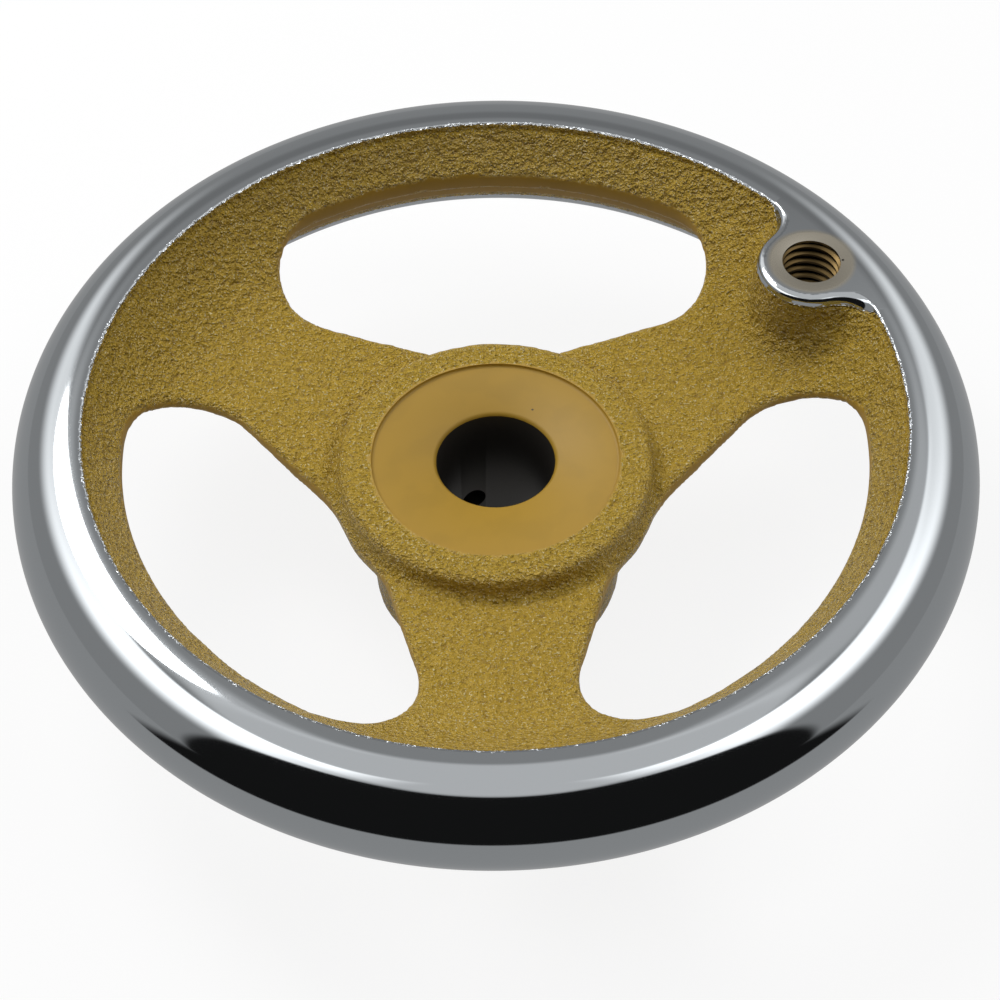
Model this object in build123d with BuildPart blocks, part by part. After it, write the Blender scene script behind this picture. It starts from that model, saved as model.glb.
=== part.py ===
from build123d import *
import os
from math import radians, sqrt, tan

# A dished three-spoke machine handwheel, sand-cast in iron in one piece: a deep rounded rim, a bowl that
# sweeps down from it to three flat tapering spokes, and a hub with a raised front face and a longer barrel
# behind. A boss for the turning handle grows out of the rim and flares down into one spoke.
# The wheel's axis is +Z and z = 0 is the rear end of the hub. +Z points to the operator, who sees the dish.

# Driving dimensions, in millimetres and degrees
wheel_diameter = 177.8  # 7 in over the rim

hub_length = 35.0
barrel_diameter = 47.5  # the hub behind the web
barrel_end_chamfer = 1.0
barrel_root_fillet = 3.0
flange_overhang = 6.25  # the hub's disc beyond the barrel, at the level of its back face
flange_draft = 4.0
flange_length = 10.4
flange_front_edge = 1.3  # radius of its rounded front edge
flange_back_edge = 0.8
bore_diameter = 22.225  # 7/8 in shaft
bore_chamfer = 0.7
hub_face_width = 5.97  # the ring of the hub face left round the recess
recess_depth = 0.7  # turned flat, for a washer

web_thickness = 4.7  # at the flange
web_tip_thickness = 2.9  # where the spokes turn up into the bowl
web_setback = 4.3  # from the hub face down to the spokes, at the flange
web_slope = 7.5  # the spokes rise this much towards the rim
bowl_radius = 29.5
bowl_wall = 4.5  # the arc behind is larger by this much

rim_rise = 14.7  # from the hub face to the flat land on top of the rim
rim_width = 13.8
rim_depth = 21.9
rim_widest_depth = 12.1  # from the land down to the widest circle
land_width = 2.2
land_edge_radius = 0.4
rim_foot_width = 3.2
rim_foot_radius = 4.5
rim_back_inset = 5.1  # where the back of the bowl meets the rim, in from the land's edge
rim_back_depth = 11.0
rim_back_fillet = 2.5

spoke_count = 3
front_spoke_angle = -90.0
spoke_root_width = 37.7  # between the flanks at the hub circle
spoke_taper = 15.2  # each flank leans in by this angle
window_hub_ledge = 0.6  # web left round the flange
window_rim_inset = 20.1  # from the rim's outside in to the windows
window_root_radius = 20.0
window_corner_radius = 12.7
window_edge_radius = 0.9

handle_inset = 18.8  # from the rim's outside in to the handle's axis
handle_boss_radius = 10.3
handle_boss_back_share = 0.28  # its flat back lies this far up the rise of the bowl's back
handle_boss_draft = 3.0
handle_boss_flare = 6.0
handle_boss_back_fillet = 1.5
handle_hole_diameter = 10.7  # 1/2-13 thread, at its crests
handle_hole_lead_in = 0.3  # how far its mouth is opened out

screw_hole_diameter = 5.1  # 1/4-20 set screw, at the thread's crests
screw_hole_height = 10.0
screw_hole_angle = 114.0

# Levels and radii that follow from them
rim_radius = wheel_diameter / 2
land_height = hub_length + rim_rise
land_inner_radius = rim_radius - rim_width
land_outer_radius = land_inner_radius + land_width
widest_height = land_height - rim_widest_depth
rim_foot_height = land_height - rim_depth
rim_foot_outer_radius = land_inner_radius + rim_foot_width
barrel_radius = barrel_diameter / 2
flange_radius = barrel_radius + flange_overhang
flange_back_height = hub_length - flange_length
flange_front_radius = flange_radius - flange_length * tan(radians(flange_draft))
recess_radius = flange_front_radius - hub_face_width
window_hub_radius = flange_radius + window_hub_ledge
window_rim_radius = rim_radius - window_rim_inset
handle_circle_radius = rim_radius - handle_inset
handle_angle = front_spoke_angle + 360 / spoke_count
spoke_axis_half_width = spoke_root_width / 2 + flange_radius * tan(radians(spoke_taper))
spoke_tip_half_width = spoke_axis_half_width - window_rim_radius * tan(radians(spoke_taper))

web_front_run = Vector(1, 0).rotate(Axis.Z, web_slope)
web_front_root = Vector(flange_radius, hub_length - web_setback)
web_back_root = web_front_root - Vector(0, web_thickness)
land_corner = Vector(land_inner_radius, land_height)
foot_corner = Vector(land_inner_radius, rim_foot_height)
back_corner = Vector(land_inner_radius - rim_back_inset, land_height - rim_back_depth)


def inside_barrel(root, run):
    """Where the web's line through root ends, within the barrel's wall."""
    return root - run * ((root.X - barrel_radius + barrel_root_fillet) / run.X)


def bowl_start(root, run, corner, radius):
    """Where an arc of this radius leaves the web's line through root so that it ends in the corner."""
    reach = corner - root
    rise = reach.dot(run.rotate(Axis.Z, 90))
    return root + run * (reach.dot(run) - sqrt(rise * (2 * radius - rise)))


front_start = bowl_start(web_front_root, web_front_run, land_corner, bowl_radius)
web_back_run = (front_start - Vector(0, web_tip_thickness) - web_back_root).normalized()
back_start = bowl_start(web_back_root, web_back_run, back_corner, bowl_radius + bowl_wall)
handle_boss_back_height = back_start.Y + (back_corner.Y - back_start.Y) * handle_boss_back_share
handle_boss_length = land_height - handle_boss_back_height

with BuildPart() as handwheel:
    # Handle boss, drafted up from its flat back, its front flush with the rim's land
    with BuildSketch(Plane.XY.offset(handle_boss_back_height)):
        with PolarLocations(handle_circle_radius, 1, handle_angle):
            Circle(handle_boss_radius + handle_boss_length * tan(radians(handle_boss_draft)))
    extrude(amount=handle_boss_length, taper=handle_boss_draft)
    Cylinder(land_outer_radius, 2 * land_height, mode=Mode.INTERSECT)

    # Rim, bowl and web, turned about the wheel's axis
    with BuildSketch(Plane.XZ) as rim_section:
        with BuildLine():
            front_end = inside_barrel(web_front_root, web_front_run)
            Polyline(back_start, inside_barrel(web_back_root, web_back_run), front_end, front_start)
            TangentArc(front_start, land_corner, tangent=web_front_run)
            Line(land_corner, (land_outer_radius, land_height))
            EllipticalCenterArc(
                (land_outer_radius, widest_height),
                rim_radius - land_outer_radius,
                rim_widest_depth,
                start_angle=0,
                arc_size=90,
            )
            EllipticalCenterArc(
                (rim_foot_outer_radius, widest_height),
                rim_radius - rim_foot_outer_radius,
                rim_depth - rim_widest_depth,
                start_angle=-90,
                arc_size=90,
            )
            Polyline((rim_foot_outer_radius, rim_foot_height), foot_corner, back_corner)
            TangentArc(back_start, back_corner, tangent=web_back_run)
        make_face()
        fillet(rim_section.vertices().sort_by_distance(foot_corner)[0], rim_foot_radius)
        fillet(rim_section.vertices().sort_by_distance(back_corner)[0], rim_back_fillet)
    revolve(axis=Axis.Z)

    # The boss flares into bowl and spoke in front, and meets the web in a small fillet behind
    fillet(handwheel.edges().filter_by(GeomType.BSPLINE).sort_by(SortBy.LENGTH)[-1], handle_boss_flare)
    back_seams = handwheel.edges().filter_by(GeomType.BSPLINE).filter_by(
        lambda edge: max(edge.position_at(0).Z, edge.position_at(1).Z) < widest_height
    )
    fillet(back_seams, handle_boss_back_fillet)
    land = handwheel.faces().filter_by(GeomType.PLANE).sort_by(Axis.Z)[-1]
    fillet(land.inner_wires()[0].edges(), land_edge_radius)

    # Three windows leave tapering spokes between them
    with BuildSketch() as windows:
        Circle(window_rim_radius)
        Circle(window_hub_radius, mode=Mode.SUBTRACT)
        with PolarLocations(0, spoke_count, front_spoke_angle):
            Polygon(
                (0, -spoke_axis_half_width),
                (window_rim_radius, -spoke_tip_half_width),
                (window_rim_radius, spoke_tip_half_width),
                (0, spoke_axis_half_width),
                align=None,
                mode=Mode.SUBTRACT,
            )
        fillet(windows.vertices().sort_by_distance((0, 0))[: 2 * spoke_count], window_root_radius)
        fillet(windows.vertices().sort_by_distance((0, 0))[-2 * spoke_count :], window_corner_radius)
    extrude(amount=land_height, mode=Mode.SUBTRACT)
    fillet(handwheel.edges(Select.LAST).filter_by(Axis.Z, reverse=True), window_edge_radius)

    # Hub: the barrel behind, and the drafted flange that the spokes grow out of
    with BuildSketch(Plane.XZ) as hub_section:
        barrel_end = Vector(barrel_radius, 0)
        barrel_root = Vector(barrel_radius, flange_back_height)
        flange_back = Vector(flange_radius, flange_back_height)
        flange_front = Vector(flange_front_radius, hub_length)
        with BuildLine():
            Polyline((0, 0), barrel_end, barrel_root, flange_back, flange_front, (0, hub_length), close=True)
        make_face()
        for corner, radius in (
            (barrel_root, barrel_root_fillet),
            (flange_back, flange_back_edge),
            (flange_front, flange_front_edge),
        ):
            fillet(hub_section.vertices().sort_by_distance(corner)[0], radius)
        chamfer(hub_section.vertices().sort_by_distance(barrel_end)[0], barrel_end_chamfer)
    revolve(axis=Axis.Z)

    # Bore with the turned recess in front, both ends chamfered
    with Locations((0, 0, hub_length)):
        CounterBoreHole(bore_diameter / 2, recess_radius, recess_depth)
    bore_ends = handwheel.edges(Select.LAST).filter_by(GeomType.CIRCLE).group_by(SortBy.RADIUS)[0]
    chamfer(bore_ends, bore_chamfer)

    # Tapped hole for the handle, and the set screw's hole through the barrel's wall
    with Locations(Plane.XY.offset(land_height)):
        with PolarLocations(handle_circle_radius, 1, handle_angle):
            CounterSinkHole(handle_hole_diameter / 2, handle_hole_diameter / 2 + handle_hole_lead_in)
    with BuildSketch(Plane((0, 0, screw_hole_height), z_dir=Vector(1, 0).rotate(Axis.Z, screw_hole_angle))):
        Circle(screw_hole_diameter / 2)
    extrude(amount=barrel_diameter, mode=Mode.SUBTRACT)

os.makedirs("parts", exist_ok=True)
handwheel.part.label = "handwheel"
export_step(handwheel.part, "parts/handwheel.step")
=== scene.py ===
import math
import bpy
import bmesh
from mathutils import Matrix, Vector, noise


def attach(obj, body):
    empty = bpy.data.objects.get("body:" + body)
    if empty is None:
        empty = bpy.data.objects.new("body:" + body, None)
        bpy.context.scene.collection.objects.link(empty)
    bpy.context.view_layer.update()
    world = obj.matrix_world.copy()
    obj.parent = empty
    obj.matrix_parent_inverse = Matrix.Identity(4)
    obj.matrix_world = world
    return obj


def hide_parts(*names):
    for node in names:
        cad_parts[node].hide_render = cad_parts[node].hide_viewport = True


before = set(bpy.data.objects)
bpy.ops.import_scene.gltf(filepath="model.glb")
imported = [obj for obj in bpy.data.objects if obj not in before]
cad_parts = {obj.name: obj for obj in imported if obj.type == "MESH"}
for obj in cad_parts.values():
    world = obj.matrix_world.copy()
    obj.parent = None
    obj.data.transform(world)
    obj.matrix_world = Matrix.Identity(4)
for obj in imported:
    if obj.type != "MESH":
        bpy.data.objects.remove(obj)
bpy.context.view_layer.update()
print("frame loaded")

mm = 0.001  # every size below is in millimetres

view = {"place": (0.0, -301.63, 392.85), "turn": (39.127, 0.4725, -0.7139), "lens": 90.5}

cameraData = bpy.data.cameras.new("viewCamera")
cameraData.lens = view["lens"]
cameraData.sensor_width = 36.0
camera = bpy.data.objects.new("viewCamera", cameraData)
camera.location = Vector(view["place"]) * mm
camera.rotation_euler = [math.radians(a) for a in view["turn"]]
bpy.context.scene.collection.objects.link(camera)
bpy.context.scene.camera = camera
bpy.context.scene.view_settings.view_transform = "Standard"

# the wheel's sizes that several pieces share; heights count from the rear end of the hub
wheel = {
    "landHeight": 49.7,
    "recessRadius": 23.3,
    "recessFloor": 34.3,
    "boreRadius": 11.1125,
    "boreChamfer": 0.7,
    "handleAxis": (60.708, 35.05),
    "paintedBossShade": (59.0, 25.5, 35.0),  # painted shade under the handle boss: its place
    "specks": [(7.1, 12.0, 34.3, 0.3), (66.7, 35.3, 49.7, 0.35)],  # a dark dot, and a pit painted as a dark spot of shade: place and radius
    "crossHole": {"height": 10.0, "angle": 114.0, "radius": 2.55},
}

# where the enamel stops: at this height round the rim's land and the handle boss, and along a slanting line
# through the rim's wall to its back corner
paintLine = {
    "height": 49.4,
    "bossDrop": 1.6,  # lower round the handle boss
    "bossReach": (18.5, 14.0),
    "frontRadius": 75.05,
    "backHeight": 31.2,
    "backRadius": 73.3,
    "ragged": 0.4,
    "roughBand": (-0.9, -0.5, 0.1, 0.3),  # from the line: where the metal beside it is rough
}

# the enamel's grains, by their spacing, and how far they stand out
enamel = {
    "grain": 1.0,
    "glint": 0.4,
    "glintShare": 0.6,
    "coarse": 2.0,
    "coarseShare": 0.9,
    "coarseFrom": (35.5, 40.0),  # heights between which the bowl turns coarser than the hub and spokes
    "relief": 1.4,
    "stain": 7.0,
    "paintedBossShade": (11.0, 4.0),  # outer and inner radius of the shade painted under the handle boss
    "rubbed": (8.9, 7.6),  # the same for the ring that the handle's shoulder rubbed
    "roughness": (0.55, 0.22),  # on machined faces and on the grain
    "chromeRoughness": (0.06, 0.14),  # clean, and how much the rubbed ring adds
}


def hexLinear(code):
    # sRGB hex to the linear colour that the shaders want
    channels = [int(code[i : i + 2], 16) / 255 for i in (1, 3, 5)]
    return [c / 12.92 if c <= 0.04045 else ((c + 0.055) / 1.055) ** 2.4 for c in channels] + [1.0]


def addNode(tree, kind, settings={}, sockets={}):
    # one node; a socket takes a number, a colour or another node's output
    node = tree.nodes.new(kind)
    for key, value in settings.items():
        setattr(node, key, value)
    for key, value in sockets.items():
        if isinstance(value, bpy.types.NodeSocket):
            tree.links.new(value, node.inputs[key])
        else:
            node.inputs[key].default_value = value
    return node


def emptyMaterial(name):
    material = bpy.data.materials.new(name)
    material.use_nodes = True
    material.node_tree.nodes.clear()
    return material, material.node_tree


def calc(tree, operation, *values):
    # a Math node's result
    return addNode(tree, "ShaderNodeMath", {"operation": operation}, dict(enumerate(values))).outputs[0]


def fade(tree, value, start, end, low=0.0, high=1.0):
    # smooth change from low at start to high at end
    mapped = addNode(
        tree,
        "ShaderNodeMapRange",
        {"interpolation_type": "SMOOTHSTEP"},
        {"Value": value, "From Min": start, "From Max": end, "To Min": low, "To Max": high},
    )
    return mapped.outputs["Result"]


def grains(tree, place, size, detail=2.0, roughness=0.5):
    # noise whose lumps are about this many millimetres apart
    sockets = {"Vector": place, "Scale": 1 / (size * mm), "Detail": detail, "Roughness": roughness}
    return addNode(tree, "ShaderNodeTexNoise", {}, sockets).outputs["Fac"]


def colourRamp(tree, value, stops):
    # a ramp with the given (place, hex colour) stops
    node = addNode(tree, "ShaderNodeValToRGB", {}, {0: value})
    ramp = node.color_ramp
    while len(ramp.elements) < len(stops):
        ramp.elements.new(0.5)
    for element, (place, code) in zip(ramp.elements, stops):
        element.position = place
        element.color = hexLinear(code)
    return node.outputs["Color"]


def blend(tree, share, first, second):
    # colour mixed from first to second
    node = addNode(tree, "ShaderNodeMix", {"data_type": "RGBA"}, {0: share, 6: first, 7: second})
    return node.outputs[2]


def lerp(tree, share, first, second):
    # number mixed from first to second
    return addNode(tree, "ShaderNodeMix", {"data_type": "FLOAT"}, {0: share, 2: first, 3: second}).outputs[0]


def radiusOf(tree, x, y):
    return calc(tree, "SQRT", calc(tree, "ADD", calc(tree, "MULTIPLY", x, x), calc(tree, "MULTIPLY", y, y)))


def bareMetal(tree, place):
    # 1 where the plated metal is bare, 0 under the enamel; then 1 on the ragged edge between them
    x, y, z = addNode(tree, "ShaderNodeSeparateXYZ", {}, {0: place}).outputs
    radius = radiusOf(tree, x, y)
    wander = calc(tree, "SUBTRACT", grains(tree, place, 1.1, 4.0, 0.7), 0.5)
    wander = calc(tree, "MULTIPLY", wander, 2 * paintLine["ragged"] * mm)
    lean = paintLine["frontRadius"] - paintLine["backRadius"]
    lean /= paintLine["height"] - paintLine["backHeight"]
    rise = calc(tree, "SUBTRACT", z, paintLine["backHeight"] * mm)
    slant = calc(tree, "ADD", calc(tree, "MULTIPLY", rise, lean), paintLine["backRadius"] * mm)
    ax, ay = wheel["handleAxis"]
    boss = (ax * mm, ay * mm, 48 * mm)
    fromBoss = addNode(tree, "ShaderNodeVectorMath", {"operation": "DISTANCE"}, {0: place, 1: boss})
    far, near = paintLine["bossReach"]
    drop = fade(tree, fromBoss.outputs["Value"], far * mm, near * mm, 0.0, paintLine["bossDrop"] * mm)
    above = calc(tree, "ADD", calc(tree, "SUBTRACT", z, paintLine["height"] * mm), drop)
    beyond = calc(tree, "ADD", calc(tree, "MAXIMUM", above, calc(tree, "SUBTRACT", radius, slant)), wander)
    start, full, ease, end = [d * mm for d in paintLine["roughBand"]]
    edge = calc(tree, "MULTIPLY", fade(tree, beyond, start, full), fade(tree, beyond, end, ease))
    return fade(tree, beyond, -0.02 * mm, 0.05 * mm), edge


def enamelledPlate():
    # thick gloss machine enamel over sand-cast iron: ochre and grainy, with a small painted glint on every
    # grain and its colour painted darker in the grain's hollows and lighter on its lumps;
    # where it stops, chrome plate over polished iron: a mirror with a faint cool cast, warm and dull where
    # the handle's shoulder rubbed it; pale specks are painted glints and dark specks painted shade in pits,
    # too fine to show as relief
    material, tree = emptyMaterial("mustardEnamelOverChromePlate")
    place = addNode(tree, "ShaderNodeTexCoord").outputs["Object"]
    skin = addNode(tree, "ShaderNodeAttribute", {"attribute_name": "sandSkin"}).outputs["Fac"]
    bare, edge = bareMetal(tree, place)
    grain = grains(tree, place, enamel["grain"], 3.0, 0.55)
    fine = grains(tree, place, enamel["glint"], 1.0)
    height = calc(tree, "ADD", grain, calc(tree, "MULTIPLY", fine, enamel["glintShare"]))
    rise = addNode(tree, "ShaderNodeSeparateXYZ", {}, {0: place}).outputs["Z"]
    inBowl = fade(tree, rise, *[h * mm for h in enamel["coarseFrom"]])
    coarse = grains(tree, place, enamel["coarse"], 2.0)
    coarse = calc(tree, "MULTIPLY", coarse, calc(tree, "MULTIPLY", inBowl, enamel["coarseShare"]))
    height = calc(tree, "ADD", height, coarse)
    rough = calc(tree, "MAXIMUM", skin, edge)
    relief = {"Strength": rough, "Distance": enamel["relief"] * mm, "Height": height}
    bump = addNode(tree, "ShaderNodeBump", {}, relief)
    # painted light on the grain: its colour runs darker in the hollows of the relief and lighter on its lumps
    grainWithPaintedLight = colourRamp(tree, grain, [(0.3, "#997b30"), (0.45, "#b0912f"), (0.7, "#c09f3c")])
    stains = grains(tree, place, enamel["stain"], 2.0)
    plain = colourRamp(tree, stains, [(0.36, "#9c7a1f"), (0.5, "#a07d20")])
    # painted highlights: pale specks as glints on the fine grain; the next line paints dark specks as shade
    # in its pits
    grainWithPaintedLight = blend(tree, fade(tree, fine, 0.61, 0.7, 0.0, 0.7), grainWithPaintedLight, hexLinear("#dccf9f"))
    grainWithPaintedLight = blend(tree, fade(tree, fine, 0.37, 0.3, 0.0, 0.35), grainWithPaintedLight, hexLinear("#5c4a1e"))
    ochre = blend(tree, rough, plain, grainWithPaintedLight)
    # painted shade: a smudgy dark patch on the bowl under the handle boss
    paintedBossShadeAt = tuple(c * mm for c in wheel["paintedBossShade"])
    fromPaintedBossShade = addNode(tree, "ShaderNodeVectorMath", {"operation": "DISTANCE"}, {0: place, 1: paintedBossShadeAt})
    outer, inner = enamel["paintedBossShade"]
    paintedBossShade = fade(tree, fromPaintedBossShade.outputs["Value"], outer * mm, inner * mm, 0.0, 0.5)
    ochre = blend(tree, calc(tree, "MULTIPLY", paintedBossShade, stains), ochre, hexLinear("#3f2e10"))
    ax, ay = wheel["handleAxis"]
    hole = (ax * mm, ay * mm, wheel["landHeight"] * mm)
    fromHole = addNode(tree, "ShaderNodeVectorMath", {"operation": "DISTANCE"}, {0: place, 1: hole})
    outer, inner = enamel["rubbed"]
    tint = fade(tree, fromHole.outputs["Value"], outer * mm, inner * mm, 0.0, 0.75)
    metal = blend(tree, tint, hexLinear("#b9bdc0"), hexLinear("#d2c7b0"))
    coloured = blend(tree, bare, ochre, metal)
    # a dark dot, and a pit whose shade is painted as a dark spot
    for *speckAt, size in wheel["specks"]:
        at = tuple(c * mm for c in speckAt)
        fromSpeck = addNode(tree, "ShaderNodeVectorMath", {"operation": "DISTANCE"}, {0: place, 1: at})
        dark = fade(tree, fromSpeck.outputs["Value"], size * mm, size * 0.5 * mm, 0.0, 0.9)
        coloured = blend(tree, dark, coloured, hexLinear("#1c1812"))
    gloss = lerp(tree, rough, *enamel["roughness"])
    clean, added = enamel["chromeRoughness"]
    mirror = calc(tree, "ADD", clean, calc(tree, "MULTIPLY", tint, added))
    surface = addNode(
        tree,
        "ShaderNodeBsdfPrincipled",
        {},
        {
            "Base Color": coloured,
            "Metallic": bare,
            "Roughness": lerp(tree, bare, gloss, mirror),
            "Normal": bump.outputs["Normal"],
        },
    )
    addNode(tree, "ShaderNodeOutputMaterial", {}, {"Surface": surface.outputs[0]})
    return material


def cutIron():
    # the thread's bare cut iron, coloured a dark warm brown: dark, with warm crests
    material, tree = emptyMaterial("warmTintedCutIron")
    sockets = {"Base Color": hexLinear("#55462c"), "Metallic": 1.0, "Roughness": 0.3}
    surface = addNode(tree, "ShaderNodeBsdfPrincipled", {}, sockets)
    addNode(tree, "ShaderNodeOutputMaterial", {}, {"Surface": surface.outputs[0]})
    return material


def boredIron():
    # bare bored cast iron, coloured dark
    material, tree = emptyMaterial("darkBoredIron")
    sockets = {"Base Color": hexLinear("#3a3733"), "Metallic": 0.7, "Roughness": 0.45}
    surface = addNode(tree, "ShaderNodeBsdfPrincipled", {}, sockets)
    addNode(tree, "ShaderNodeOutputMaterial", {}, {"Surface": surface.outputs[0]})
    return material


plate = enamelledPlate()
threadIron = cutIron()
iron = boredIron()
print("finishes ready")


def smoothStep(value, start, end):
    share = min(max((value - start) / (end - start), 0.0), 1.0)
    return share * share * (3 - 2 * share)


def linkMesh(name, bm, materials=()):
    mesh = bpy.data.meshes.new(name)
    bm.to_mesh(mesh)
    bm.free()
    piece = bpy.data.objects.new(name, mesh)
    bpy.context.scene.collection.objects.link(piece)
    for material in materials:
        mesh.materials.append(material)
    return piece


def applyModifiers(piece):
    bpy.context.view_layer.update()
    shaped = bpy.data.meshes.new_from_object(piece.evaluated_get(bpy.context.evaluated_depsgraph_get()))
    piece.modifiers.clear()
    piece.data = shaped


def boolean(piece, tool, operation):
    # the faces that the tool leaves keep the tool's material
    cut = piece.modifiers.new("cut", "BOOLEAN")
    cut.operation = operation
    cut.solver = "EXACT"
    cut.object = tool
    cut.material_mode = "TRANSFER"
    applyModifiers(piece)
    bpy.data.objects.remove(tool)


def arcPoints(bm, centre, half, start, end, steps):
    # part of an ellipse in the X-Z plane, from start to end degrees: one vertex spun, then stretched
    first = bm.verts.new(Matrix.Rotation(-math.radians(start), 3, "Y") @ Vector((1, 0, 0)))
    angle = math.radians(end - start)
    origin = (0, 0, 0)
    bmesh.ops.spin(bm, geom=[first], axis=(0, -1, 0), cent=origin, dvec=origin, angle=angle, steps=steps)
    bm.verts.ensure_lookup_table()
    points = list(bm.verts)[-steps - 1 :]
    bmesh.ops.scale(bm, vec=(half[0] * mm, 1, half[1] * mm), verts=points)
    bmesh.ops.translate(bm, vec=(centre[0] * mm, 0, centre[1] * mm), verts=points)
    return points


def cornerPoints(bm, outline):
    return [bm.verts.new((r * mm, 0, z * mm)) for r, z in outline]


def turnOutline(bm, points, steps, centre=(0, 0)):
    # revolves a closed loop of vertices, drawn in the X-Z plane, about an upright axis
    edges = [bm.edges.get(pair) or bm.edges.new(pair) for pair in zip(points, points[1:] + points[:1])]
    bmesh.ops.translate(bm, vec=(centre[0] * mm, centre[1] * mm, 0), verts=points)
    bmesh.ops.spin(
        bm,
        geom=points + edges,
        cent=(centre[0] * mm, centre[1] * mm, 0),
        axis=(0, 0, 1),
        dvec=(0, 0, 0),
        angle=2 * math.pi,
        steps=steps,
        use_merge=True,
    )
    bmesh.ops.remove_doubles(bm, verts=bm.verts, dist=1e-7)
    bmesh.ops.delete(bm, geom=[e for e in bm.edges if not e.link_faces], context="EDGES")
    bmesh.ops.recalc_face_normals(bm, faces=bm.faces)


def turnedSolid(name, outline, steps, centre=(0, 0), materials=()):
    # a turned solid from (radius, height) corners
    bm = bmesh.new()
    turnOutline(bm, cornerPoints(bm, outline), steps, centre)
    return linkMesh(name, bm, materials)


def crossPin(name, radius, start, end, materials=()):
    # a round bar along the set screw's axis, from start to end out from the wheel's axis
    bm = bmesh.new()
    bmesh.ops.create_cone(
        bm, cap_ends=True, segments=48, radius1=radius * mm, radius2=radius * mm, depth=(end - start) * mm
    )
    bmesh.ops.translate(bm, vec=(0, 0, (start + end) / 2 * mm), verts=bm.verts)
    lay = Matrix.Rotation(math.radians(wheel["crossHole"]["angle"]), 3, "Z")
    lay = lay @ Matrix.Rotation(math.pi / 2, 3, "Y")
    bmesh.ops.rotate(bm, cent=(0, 0, 0), matrix=lay, verts=bm.verts)
    bmesh.ops.translate(bm, vec=(0, 0, wheel["crossHole"]["height"] * mm), verts=bm.verts)
    return linkMesh(name, bm, materials)


def cadCopy(name):
    bm = bmesh.new()
    bm.from_mesh(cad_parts["handwheel"].data)
    bmesh.ops.remove_doubles(bm, verts=bm.verts, dist=1e-6)
    return linkMesh(name, bm)


def dressed(piece):
    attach(piece, "root")
    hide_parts("handwheel")


# the chromed rim is one turned ring, from the land's inner edge round to the back corner
rim = {
    "landOuter": 77.3,
    "widest": 37.6,
    "outside": 88.9,
    "footHeight": 27.8,
    "footOuter": 78.3,
    "footRound": (77.96, 32.3, 4.5),  # centre and radius
    "wallAngle": 205.1,  # where that rounding meets the slanting inner wall
    "wallTop": (71.0, 36.55),
    "insideCasting": [(71.0, 39.0), (73.4, 44.5), (74.7, 47.4)],
    "landEdge": [(74.72, 48.95), (74.78, 49.3), (74.95, 49.55), (75.2, 49.67), (75.5, 49.7)],
    "steps": 360,
}


def buildRim():
    bm = bmesh.new()
    half = (rim["outside"] - rim["landOuter"], wheel["landHeight"] - rim["widest"])
    upper = arcPoints(bm, (rim["landOuter"], rim["widest"]), half, 90, 0, 24)
    half = (rim["outside"] - rim["footOuter"], rim["widest"] - rim["footHeight"])
    lower = arcPoints(bm, (rim["footOuter"], rim["widest"]), half, 0, -90, 20)
    r, z, radius = rim["footRound"]
    foot = arcPoints(bm, (r, z), (radius, radius), -90, rim["wallAngle"] - 360, 10)
    rest = cornerPoints(bm, [rim["wallTop"]] + rim["insideCasting"] + rim["landEdge"])
    turnOutline(bm, upper + lower[1:] + foot + rest, rim["steps"])
    piece = linkMesh("chromedRim", bm, [plate])
    boolean(piece, padBlank(), "UNION")
    outer, inner, depth = pad["ring"]
    top, ceiling = wheel["landHeight"], pad["ceiling"]
    hole = thread["back"] - 0.1
    dish = [(0, 20), (hole, 20), (hole, pad["mouth"] - 0.5), (inner, pad["mouth"])]
    dish += [(inner, top - depth), (outer, top + 0.005), (outer, ceiling), (0, ceiling)]
    boolean(piece, turnedSolid("padDish", dish, 96, wheel["handleAxis"], [plate]), "DIFFERENCE")
    piece.data.shade_smooth()
    piece.data.set_sharp_from_angle(angle=math.radians(35))
    dressed(piece)


# the polished top of the handle boss, one with the rim: its edge is rubbed round on the bowl's side
pad = {
    "bottom": 47.45,
    "reach": 17.6,
    "rimSide": 76.2,
    "plug": 6.0,
    "voxel": 0.3,
    "smoothings": 85,
    "ring": (7.8, 5.55, 0.1),  # dished round the hole: outer and inner radius, depth
    "mouth": 49.1,
    "free": (6.0, 7.0, 73.6, 74.8),  # smoothed from here: out from the handle's axis, in from the land
    "flatFrom": 49.62,  # what the smoothing leaves above this is the flat top
    "ceiling": 52,
}

# the handle's 1/2-13 right-hand thread
thread = {
    "pitch": 1.954,
    "crest": 5.35,
    "root": 6.35,
    "back": 6.6,
    "bottom": 33.0,
    "top": 48.9,
    "turns": 11,
    "steps": 48,
}


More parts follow.
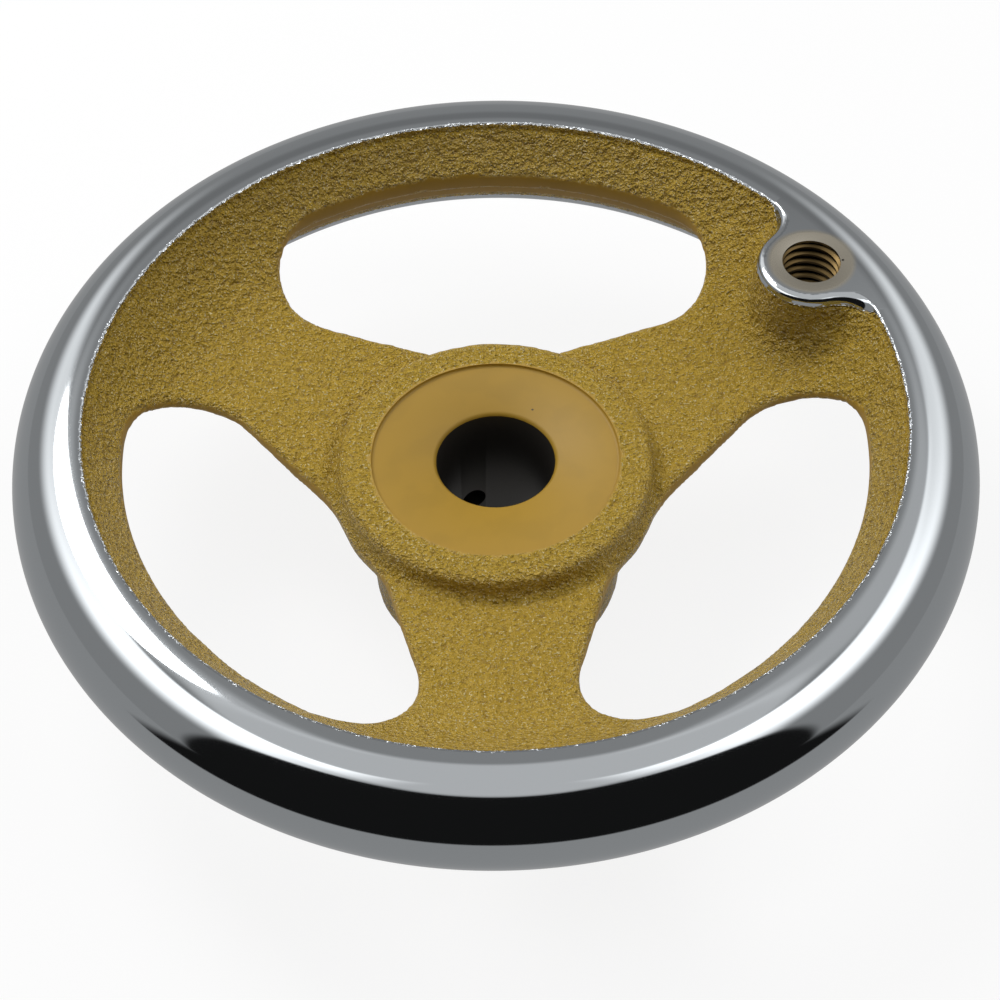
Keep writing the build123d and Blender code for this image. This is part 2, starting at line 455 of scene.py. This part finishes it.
def padBlank():
    piece = cadCopy("padBlank")
    bottom, top, ceiling = pad["bottom"], wheel["landHeight"], pad["ceiling"]
    block = [(0, bottom), (pad["reach"], bottom), (pad["reach"], top), (0, top)]
    boolean(piece, turnedSolid("padBlock", block, 96, wheel["handleAxis"]), "INTERSECT")
    plug = [(0, bottom), (pad["plug"], bottom), (pad["plug"], top), (0, top)]
    boolean(piece, turnedSolid("padPlug", plug, 48, wheel["handleAxis"]), "UNION")
    beyond = [(pad["rimSide"] + 1.5, 45), (95, 45), (95, ceiling), (pad["rimSide"] + 1.5, ceiling)]
    boolean(piece, turnedSolid("beyondPad", beyond, 360), "DIFFERENCE")
    remesh = piece.modifiers.new("remesh", "REMESH")
    remesh.mode = "VOXEL"
    remesh.voxel_size = pad["voxel"] * mm
    applyModifiers(piece)
    free = piece.vertex_groups.new(name="free")
    ax, ay = wheel["handleAxis"]
    *nearHole, nearest, land = pad["free"]
    for v in piece.data.vertices:
        x, y, z = v.co / mm
        loose = 1 - smoothStep(math.hypot(x, y), nearest, land)
        loose *= smoothStep(z, bottom + 0.2, bottom + 0.8)
        loose *= smoothStep(math.hypot(x - ax, y - ay), *nearHole)
        free.add([v.index], loose, "REPLACE")
    smooth = piece.modifiers.new("smooth", "SMOOTH")
    smooth.factor = 0.5
    smooth.iterations = pad["smoothings"]
    smooth.vertex_group = "free"
    applyModifiers(piece)
    for v in piece.data.vertices:
        if v.co.z > pad["flatFrom"] * mm:
            v.co.z = top * mm
    beyond = [(pad["rimSide"], 45), (95, 45), (95, ceiling), (pad["rimSide"], ceiling)]
    boolean(piece, turnedSolid("beyondPad", beyond, 360), "DIFFERENCE")
    return piece


buildRim()
print("rim turned")

# the enamelled casting: everything in from the chromed ring. Its holes are plugged while the skin is remeshed
# and cut again afterwards, so that their edges stay crisp
casting = {
    "rimCut": [
        *[(0, 49.2), (75.6, 49.2), (75.6, 47.2), (72.8, 40.0), (71.6, 36.9), (71.05, 36.3), (73.8, 30.35)],
        *[(75.5, 28.2), (78.0, 27.0), (78.0, 20.0), (95.0, 20.0), (95.0, 56.0), (0, 56.0)],
    ],
    "plug": [(0, 0), (12.6, 0), (12.6, 30.0), (24.2, 30.0), (24.2, 35.0), (0, 35.0)],
    "handlePlug": [(0, 33), (6.4, 33), (6.4, 49.5), (0, 49.5)],
    "handleCut": [(0, 20), (6.5, 20), (6.5, 56), (0, 56)],
    "crossPlug": (3.0, 12.0, 23.3),  # radius, start and end
    "voxel": 0.82,
    "smoothings": 5,
    "lumps": (4.5, 0.16),  # spacing and height of the sand mould's lumps
    "grit": (2.0, 0.07),
    "groove": (30.8, 0.9, 0.6),  # round the hub disc: radius, half width and depth
    "grooveHeights": (28.0, 33.5),
    "tuck": 0.35,  # how far the skin draws in under the chromed ring
    "padReach": (14.5, 17.5),  # from the handle's axis, where the casting dips under the chromed pad
    "padDip": 47.4,  # its height under the pad
}

# where the skin is smooth: machined faces, and the window walls that the pattern left clean
smoothAt = {
    "hubEnd": 0.4,
    "recess": 34.0,
    "wallTilt": 0.35,
    "wallRadii": (31.0, 72.0),
    "wallFromHole": 14.0,
    "bore": 12.5,
    "handleHole": 7.2,
}


def isSmoothFace(x, y, z, normal):
    radius = math.hypot(x, y)
    fromHole = math.hypot(x - wheel["handleAxis"][0], y - wheel["handleAxis"][1])
    start, end = smoothAt["wallRadii"]
    inRecess = radius < wheel["recessRadius"] + 0.1 and z > smoothAt["recess"]
    upright = abs(normal.z) < smoothAt["wallTilt"]
    onWall = upright and start < radius < end and fromHole > smoothAt["wallFromHole"]
    inHole = radius < smoothAt["bore"] or fromHole < smoothAt["handleHole"]
    return z < smoothAt["hubEnd"] or inRecess or onWall or inHole


def roughen(piece):
    # moves each vertex as the sand of the mould did, and tucks the skin in under the chromed pad and rim
    mesh = piece.data
    ax, ay = wheel["handleAxis"]
    lumpSize, lumpHeight = casting["lumps"]
    gritSize, gritHeight = casting["grit"]
    grooveRadius, grooveWidth, grooveDepth = casting["groove"]
    lowest, highest = casting["grooveHeights"]
    for v, normal in zip(mesh.vertices, [n.vector.copy() for n in mesh.vertex_normals]):
        x, y, z = v.co / mm
        radius = math.hypot(x, y)
        rough = 0.0 if isSmoothFace(x, y, z, normal) else 1.0
        move = rough * lumpHeight * noise.noise(Vector((x, y, z)) / lumpSize)
        move += rough * gritHeight * noise.noise(Vector((x, y, z)) / gritSize + Vector((7, 3, 5)))
        if normal.z > 0.2 and lowest < z < highest:
            move -= grooveDepth * math.exp(-(((radius - grooveRadius) / grooveWidth) ** 2))
        nearPad = 1 - smoothStep(math.hypot(x - ax, y - ay), *casting["padReach"])
        move -= casting["tuck"] * smoothStep(radius, 74.0, 74.6) * smoothStep(z, 45, 46)
        v.co += normal * move * mm
        v.co.z -= nearPad * max(v.co.z - casting["padDip"] * mm, 0.0)
        v.co.z = max(v.co.z, 0.0)


def buildCasting():
    piece = cadCopy("casting")
    boolean(piece, turnedSolid("rimCut", casting["rimCut"], 180), "DIFFERENCE")
    boolean(piece, turnedSolid("plug", casting["plug"], 96), "UNION")
    boolean(piece, turnedSolid("handlePlug", casting["handlePlug"], 48, wheel["handleAxis"]), "UNION")
    boolean(piece, crossPin("crossPlug", *casting["crossPlug"]), "UNION")
    remesh = piece.modifiers.new("remesh", "REMESH")
    remesh.mode = "VOXEL"
    remesh.voxel_size = casting["voxel"] * mm
    smooth = piece.modifiers.new("smooth", "SMOOTH")
    smooth.factor = 0.5
    smooth.iterations = casting["smoothings"]
    applyModifiers(piece)
    piece.data.materials.clear()
    piece.data.materials.append(plate)
    print("casting remeshed", len(piece.data.polygons), "faces")

    floor, bore, chamfer = wheel["recessFloor"], wheel["boreRadius"], wheel["boreChamfer"]
    recess = wheel["recessRadius"]
    outline = [(0, -1), (bore + chamfer + 1, -1), (bore, chamfer), (bore, floor - chamfer)]
    outline += [(bore + chamfer, floor), (recess - 0.7, floor), (recess - 0.35, floor + 0.08)]
    outline += [(recess - 0.1, floor + 0.3), (recess, 36), (0, 36)]
    cutter = turnedSolid("boreCutter", outline, 192, (0, 0), [plate, iron])
    for face in cutter.data.polygons:
        x, y, z = face.center / mm
        face.material_index = 1 if math.hypot(x, y) < bore + 1 and z < floor - chamfer else 0
    boolean(piece, cutter, "DIFFERENCE")
    hole = wheel["crossHole"]
    boolean(piece, crossPin("crossCutter", hole["radius"], 0.0, 30.0, [iron]), "DIFFERENCE")
    handleCut = turnedSolid("handleCut", casting["handleCut"], 96, wheel["handleAxis"], [iron])
    boolean(piece, handleCut, "DIFFERENCE")
    roughen(piece)
    print("casting roughened")

    mesh = piece.data
    skin = mesh.attributes.new("sandSkin", "FLOAT", "POINT")
    normals = [n.vector.copy() for n in mesh.vertex_normals]
    rough = [0.0 if isSmoothFace(*(v.co / mm), normal) else 1.0 for v, normal in zip(mesh.vertices, normals)]
    skin.data.foreach_set("value", rough)
    mesh.shade_smooth()
    mesh.set_sharp_from_angle(angle=math.radians(50))
    dressed(piece)


buildCasting()
print("casting finished")


def buildThread():
    bm = bmesh.new()
    pitch = thread["pitch"]
    root, crest = thread["root"], thread["crest"]
    shape = [(root, 0), (root, 0.125), (crest, 0.4375), (crest, 0.6875), (root, 1)]
    points = cornerPoints(bm, [(r, thread["bottom"] + (share - 1.2) * pitch) for r, share in shape])
    edges = [bm.edges.new(pair) for pair in zip(points, points[1:])]
    centre = Vector((*wheel["handleAxis"], 0)) * mm
    bmesh.ops.translate(bm, vec=centre, verts=points)
    bmesh.ops.spin(
        bm,
        geom=points + edges,
        cent=centre,
        axis=(0, 0, 1),
        dvec=(0, 0, pitch * mm / thread["steps"]),
        angle=2 * math.pi * thread["turns"],
        steps=thread["steps"] * thread["turns"],
    )
    bmesh.ops.remove_doubles(bm, verts=bm.verts, dist=1e-6)
    for height, side in ((thread["bottom"], "clear_inner"), (thread["top"], "clear_outer")):
        geometry = list(bm.verts) + list(bm.edges) + list(bm.faces)
        plane = {"plane_co": (0, 0, height * mm), "plane_no": (0, 0, 1), side: True}
        bmesh.ops.bisect_plane(bm, geom=geometry, **plane)
    rims = []
    for height in (thread["bottom"], thread["top"]):
        ends = [e for e in bm.edges if e.is_boundary and abs(e.verts[0].co.z - height * mm) < 1e-6]
        grown = bmesh.ops.extrude_edge_only(bm, edges=ends)["geom"]
        for v in [g for g in grown if isinstance(g, bmesh.types.BMVert)]:
            flat = (v.co - centre) * Vector((1, 1, 0))
            v.co += flat.normalized() * (thread["back"] * mm - flat.length)
        rims += [g for g in grown if isinstance(g, bmesh.types.BMEdge) and g.is_boundary]
    bmesh.ops.bridge_loops(bm, edges=rims)
    bmesh.ops.recalc_face_normals(bm, faces=bm.faces)
    piece = linkMesh("threadLiner", bm, [threadIron])
    piece.data.shade_smooth()
    piece.data.set_sharp_from_angle(angle=math.radians(25))
    dressed(piece)


buildThread()
print("thread cut")


studio = {
    "paper": 0.42,  # how the white paper shows in polished metal
    "paperEnd": 205.0,  # on the operator's side the paper ends this far from the wheel's axis
    "wall": 0.36,  # grey cloth walls of the light tent
    "backWall": (0.27, 0.38),  # behind the wheel, half way up and high up
    "zenith": 0.8,
    "panel": (2.0, 1.0),  # two long soft lamps, left and right: at their near and far ends
    "panelLine": (75.0, 0.25),  # their height in degrees, at the front and how fast it drops round the side
    "panelEdges": (-26, -6, 9, 12),  # in degrees from that line
    "sheet": 0.3,  # lit sheets behind, left and right
    "opening": 0.012,  # the tent's dark open front
    "openingSize": (63.0, 20.0, 41.0),  # half width, middle height and half height, in degrees
    "paperWhite": 0.86,  # the share of plain white in what the camera sees of the paper
}


def bearingOf(tree, x, y):
    # degrees from the operator's side, 180 behind the wheel
    turned = calc(tree, "ARCTAN2", x, calc(tree, "MULTIPLY", y, -1.0))
    return calc(tree, "ABSOLUTE", calc(tree, "DEGREES", turned))


def paleFloor():
    # matt white paper; most of what the camera sees of it is plain white, and its shadow stays
    material, tree = emptyMaterial("whitePaperFloor")
    place = addNode(tree, "ShaderNodeTexCoord").outputs["Object"]
    x, y, _ = addNode(tree, "ShaderNodeSeparateXYZ", {}, {0: place}).outputs
    radius = radiusOf(tree, x, y)
    past = fade(tree, radius, (studio["paperEnd"] - 8) * mm, (studio["paperEnd"] + 8) * mm)
    past = calc(tree, "MULTIPLY", past, fade(tree, bearingOf(tree, x, y), 66, 58))
    rays = addNode(tree, "ShaderNodeLightPath").outputs
    mirrored = calc(tree, "MAXIMUM", rays["Is Glossy Ray"], rays["Is Transmission Ray"])
    strength = lerp(tree, rays["Is Camera Ray"], lerp(tree, past, studio["paper"], studio["opening"]), 1.0)
    seen = calc(tree, "MULTIPLY", rays["Is Camera Ray"], studio["paperWhite"])
    share = calc(tree, "MAXIMUM", seen, mirrored)
    matt = addNode(tree, "ShaderNodeBsdfDiffuse", {}, {"Color": hexLinear("#f0f0f0")}).outputs[0]
    white = addNode(tree, "ShaderNodeEmission", {}, {"Color": (1, 1, 1, 1), "Strength": strength}).outputs[0]
    mixed = addNode(tree, "ShaderNodeMixShader", {}, {0: share, 1: matt, 2: white}).outputs[0]
    addNode(tree, "ShaderNodeOutputMaterial", {}, {"Surface": mixed})
    return material


bm = bmesh.new()
bmesh.ops.create_grid(bm, x_segments=1, y_segments=1, size=8)
linkMesh("floor", bm, [paleFloor()])


def tentWorld():
    # a grey tent with two long soft lamps overhead and a dark open front; white to the camera itself
    world = bpy.data.worlds.new("lightTent")
    world.use_nodes = True
    tree = world.node_tree
    tree.nodes.clear()
    place = addNode(tree, "ShaderNodeTexCoord").outputs["Generated"]
    x, y, z = addNode(tree, "ShaderNodeSeparateXYZ", {}, {0: place}).outputs
    height = calc(tree, "DEGREES", calc(tree, "ARCSINE", z))
    aside = bearingOf(tree, x, y)
    back = lerp(tree, fade(tree, height, 25, 38), studio["wall"], studio["backWall"][0])
    back = lerp(tree, fade(tree, height, 42, 46), back, studio["backWall"][1])
    wall = lerp(tree, fade(tree, aside, 120, 160), studio["wall"], back)
    wall = lerp(tree, fade(tree, height, 60, 65), wall, studio["zenith"])
    start, drop = studio["panelLine"]
    line = calc(tree, "SUBTRACT", start, calc(tree, "MULTIPLY", aside, drop))
    offLine = calc(tree, "SUBTRACT", height, line)
    low, lit, ease, high = studio["panelEdges"]
    lamp = calc(tree, "MULTIPLY", fade(tree, offLine, low, lit), fade(tree, offLine, high, ease))
    lamp = calc(tree, "MULTIPLY", lamp, fade(tree, aside, 30, 75))
    lamp = calc(tree, "MULTIPLY", lamp, fade(tree, aside, 166, 150))
    lamp = calc(tree, "MULTIPLY", lamp, fade(tree, aside, 95, 150, *studio["panel"]))
    sheet = calc(tree, "MULTIPLY", fade(tree, aside, 172, 165), fade(tree, aside, 110, 135))
    sheet = calc(tree, "MULTIPLY", sheet, fade(tree, height, 44, 49))
    sheet = calc(tree, "MULTIPLY", sheet, fade(tree, height, 68, 60))
    sheet = calc(tree, "MULTIPLY", sheet, studio["sheet"])
    light = calc(tree, "ADD", calc(tree, "ADD", wall, lamp), sheet)
    halfWidth, middle, halfHeight = studio["openingSize"]
    across = calc(tree, "POWER", calc(tree, "DIVIDE", aside, halfWidth), 4.0)
    upDown = calc(tree, "DIVIDE", calc(tree, "SUBTRACT", height, middle), halfHeight)
    upDown = calc(tree, "ABSOLUTE", upDown)
    opening = fade(tree, calc(tree, "ADD", across, calc(tree, "POWER", upDown, 4.0)), 1.12, 0.92)
    light = lerp(tree, opening, light, studio["opening"])
    light = lerp(tree, addNode(tree, "ShaderNodeLightPath").outputs["Is Camera Ray"], light, 1.0)
    background = addNode(tree, "ShaderNodeBackground", {}, {"Color": (1, 1, 1, 1), "Strength": light})
    addNode(tree, "ShaderNodeOutputWorld", {}, {"Surface": background.outputs[0]})
    bpy.context.scene.world = world


tentWorld()

# one round soft lamp behind on the left, which the enamel's grains glint in
key = {"place": (-330, 340, 620), "size": 340, "power": 2.0}
keyData = bpy.data.lights.new("softKeyLamp", "AREA")
keyData.shape = "DISK"
keyData.size = key["size"] * mm
keyData.energy = key["power"]
keyLamp = bpy.data.objects.new("softKeyLamp", keyData)
keyLamp.location = Vector(key["place"]) * mm
keyLamp.rotation_euler = Vector(key["place"]).to_track_quat("Z", "Y").to_euler()
bpy.context.scene.collection.objects.link(keyLamp)
print("stage set")

bpy.context.view_layer.update()
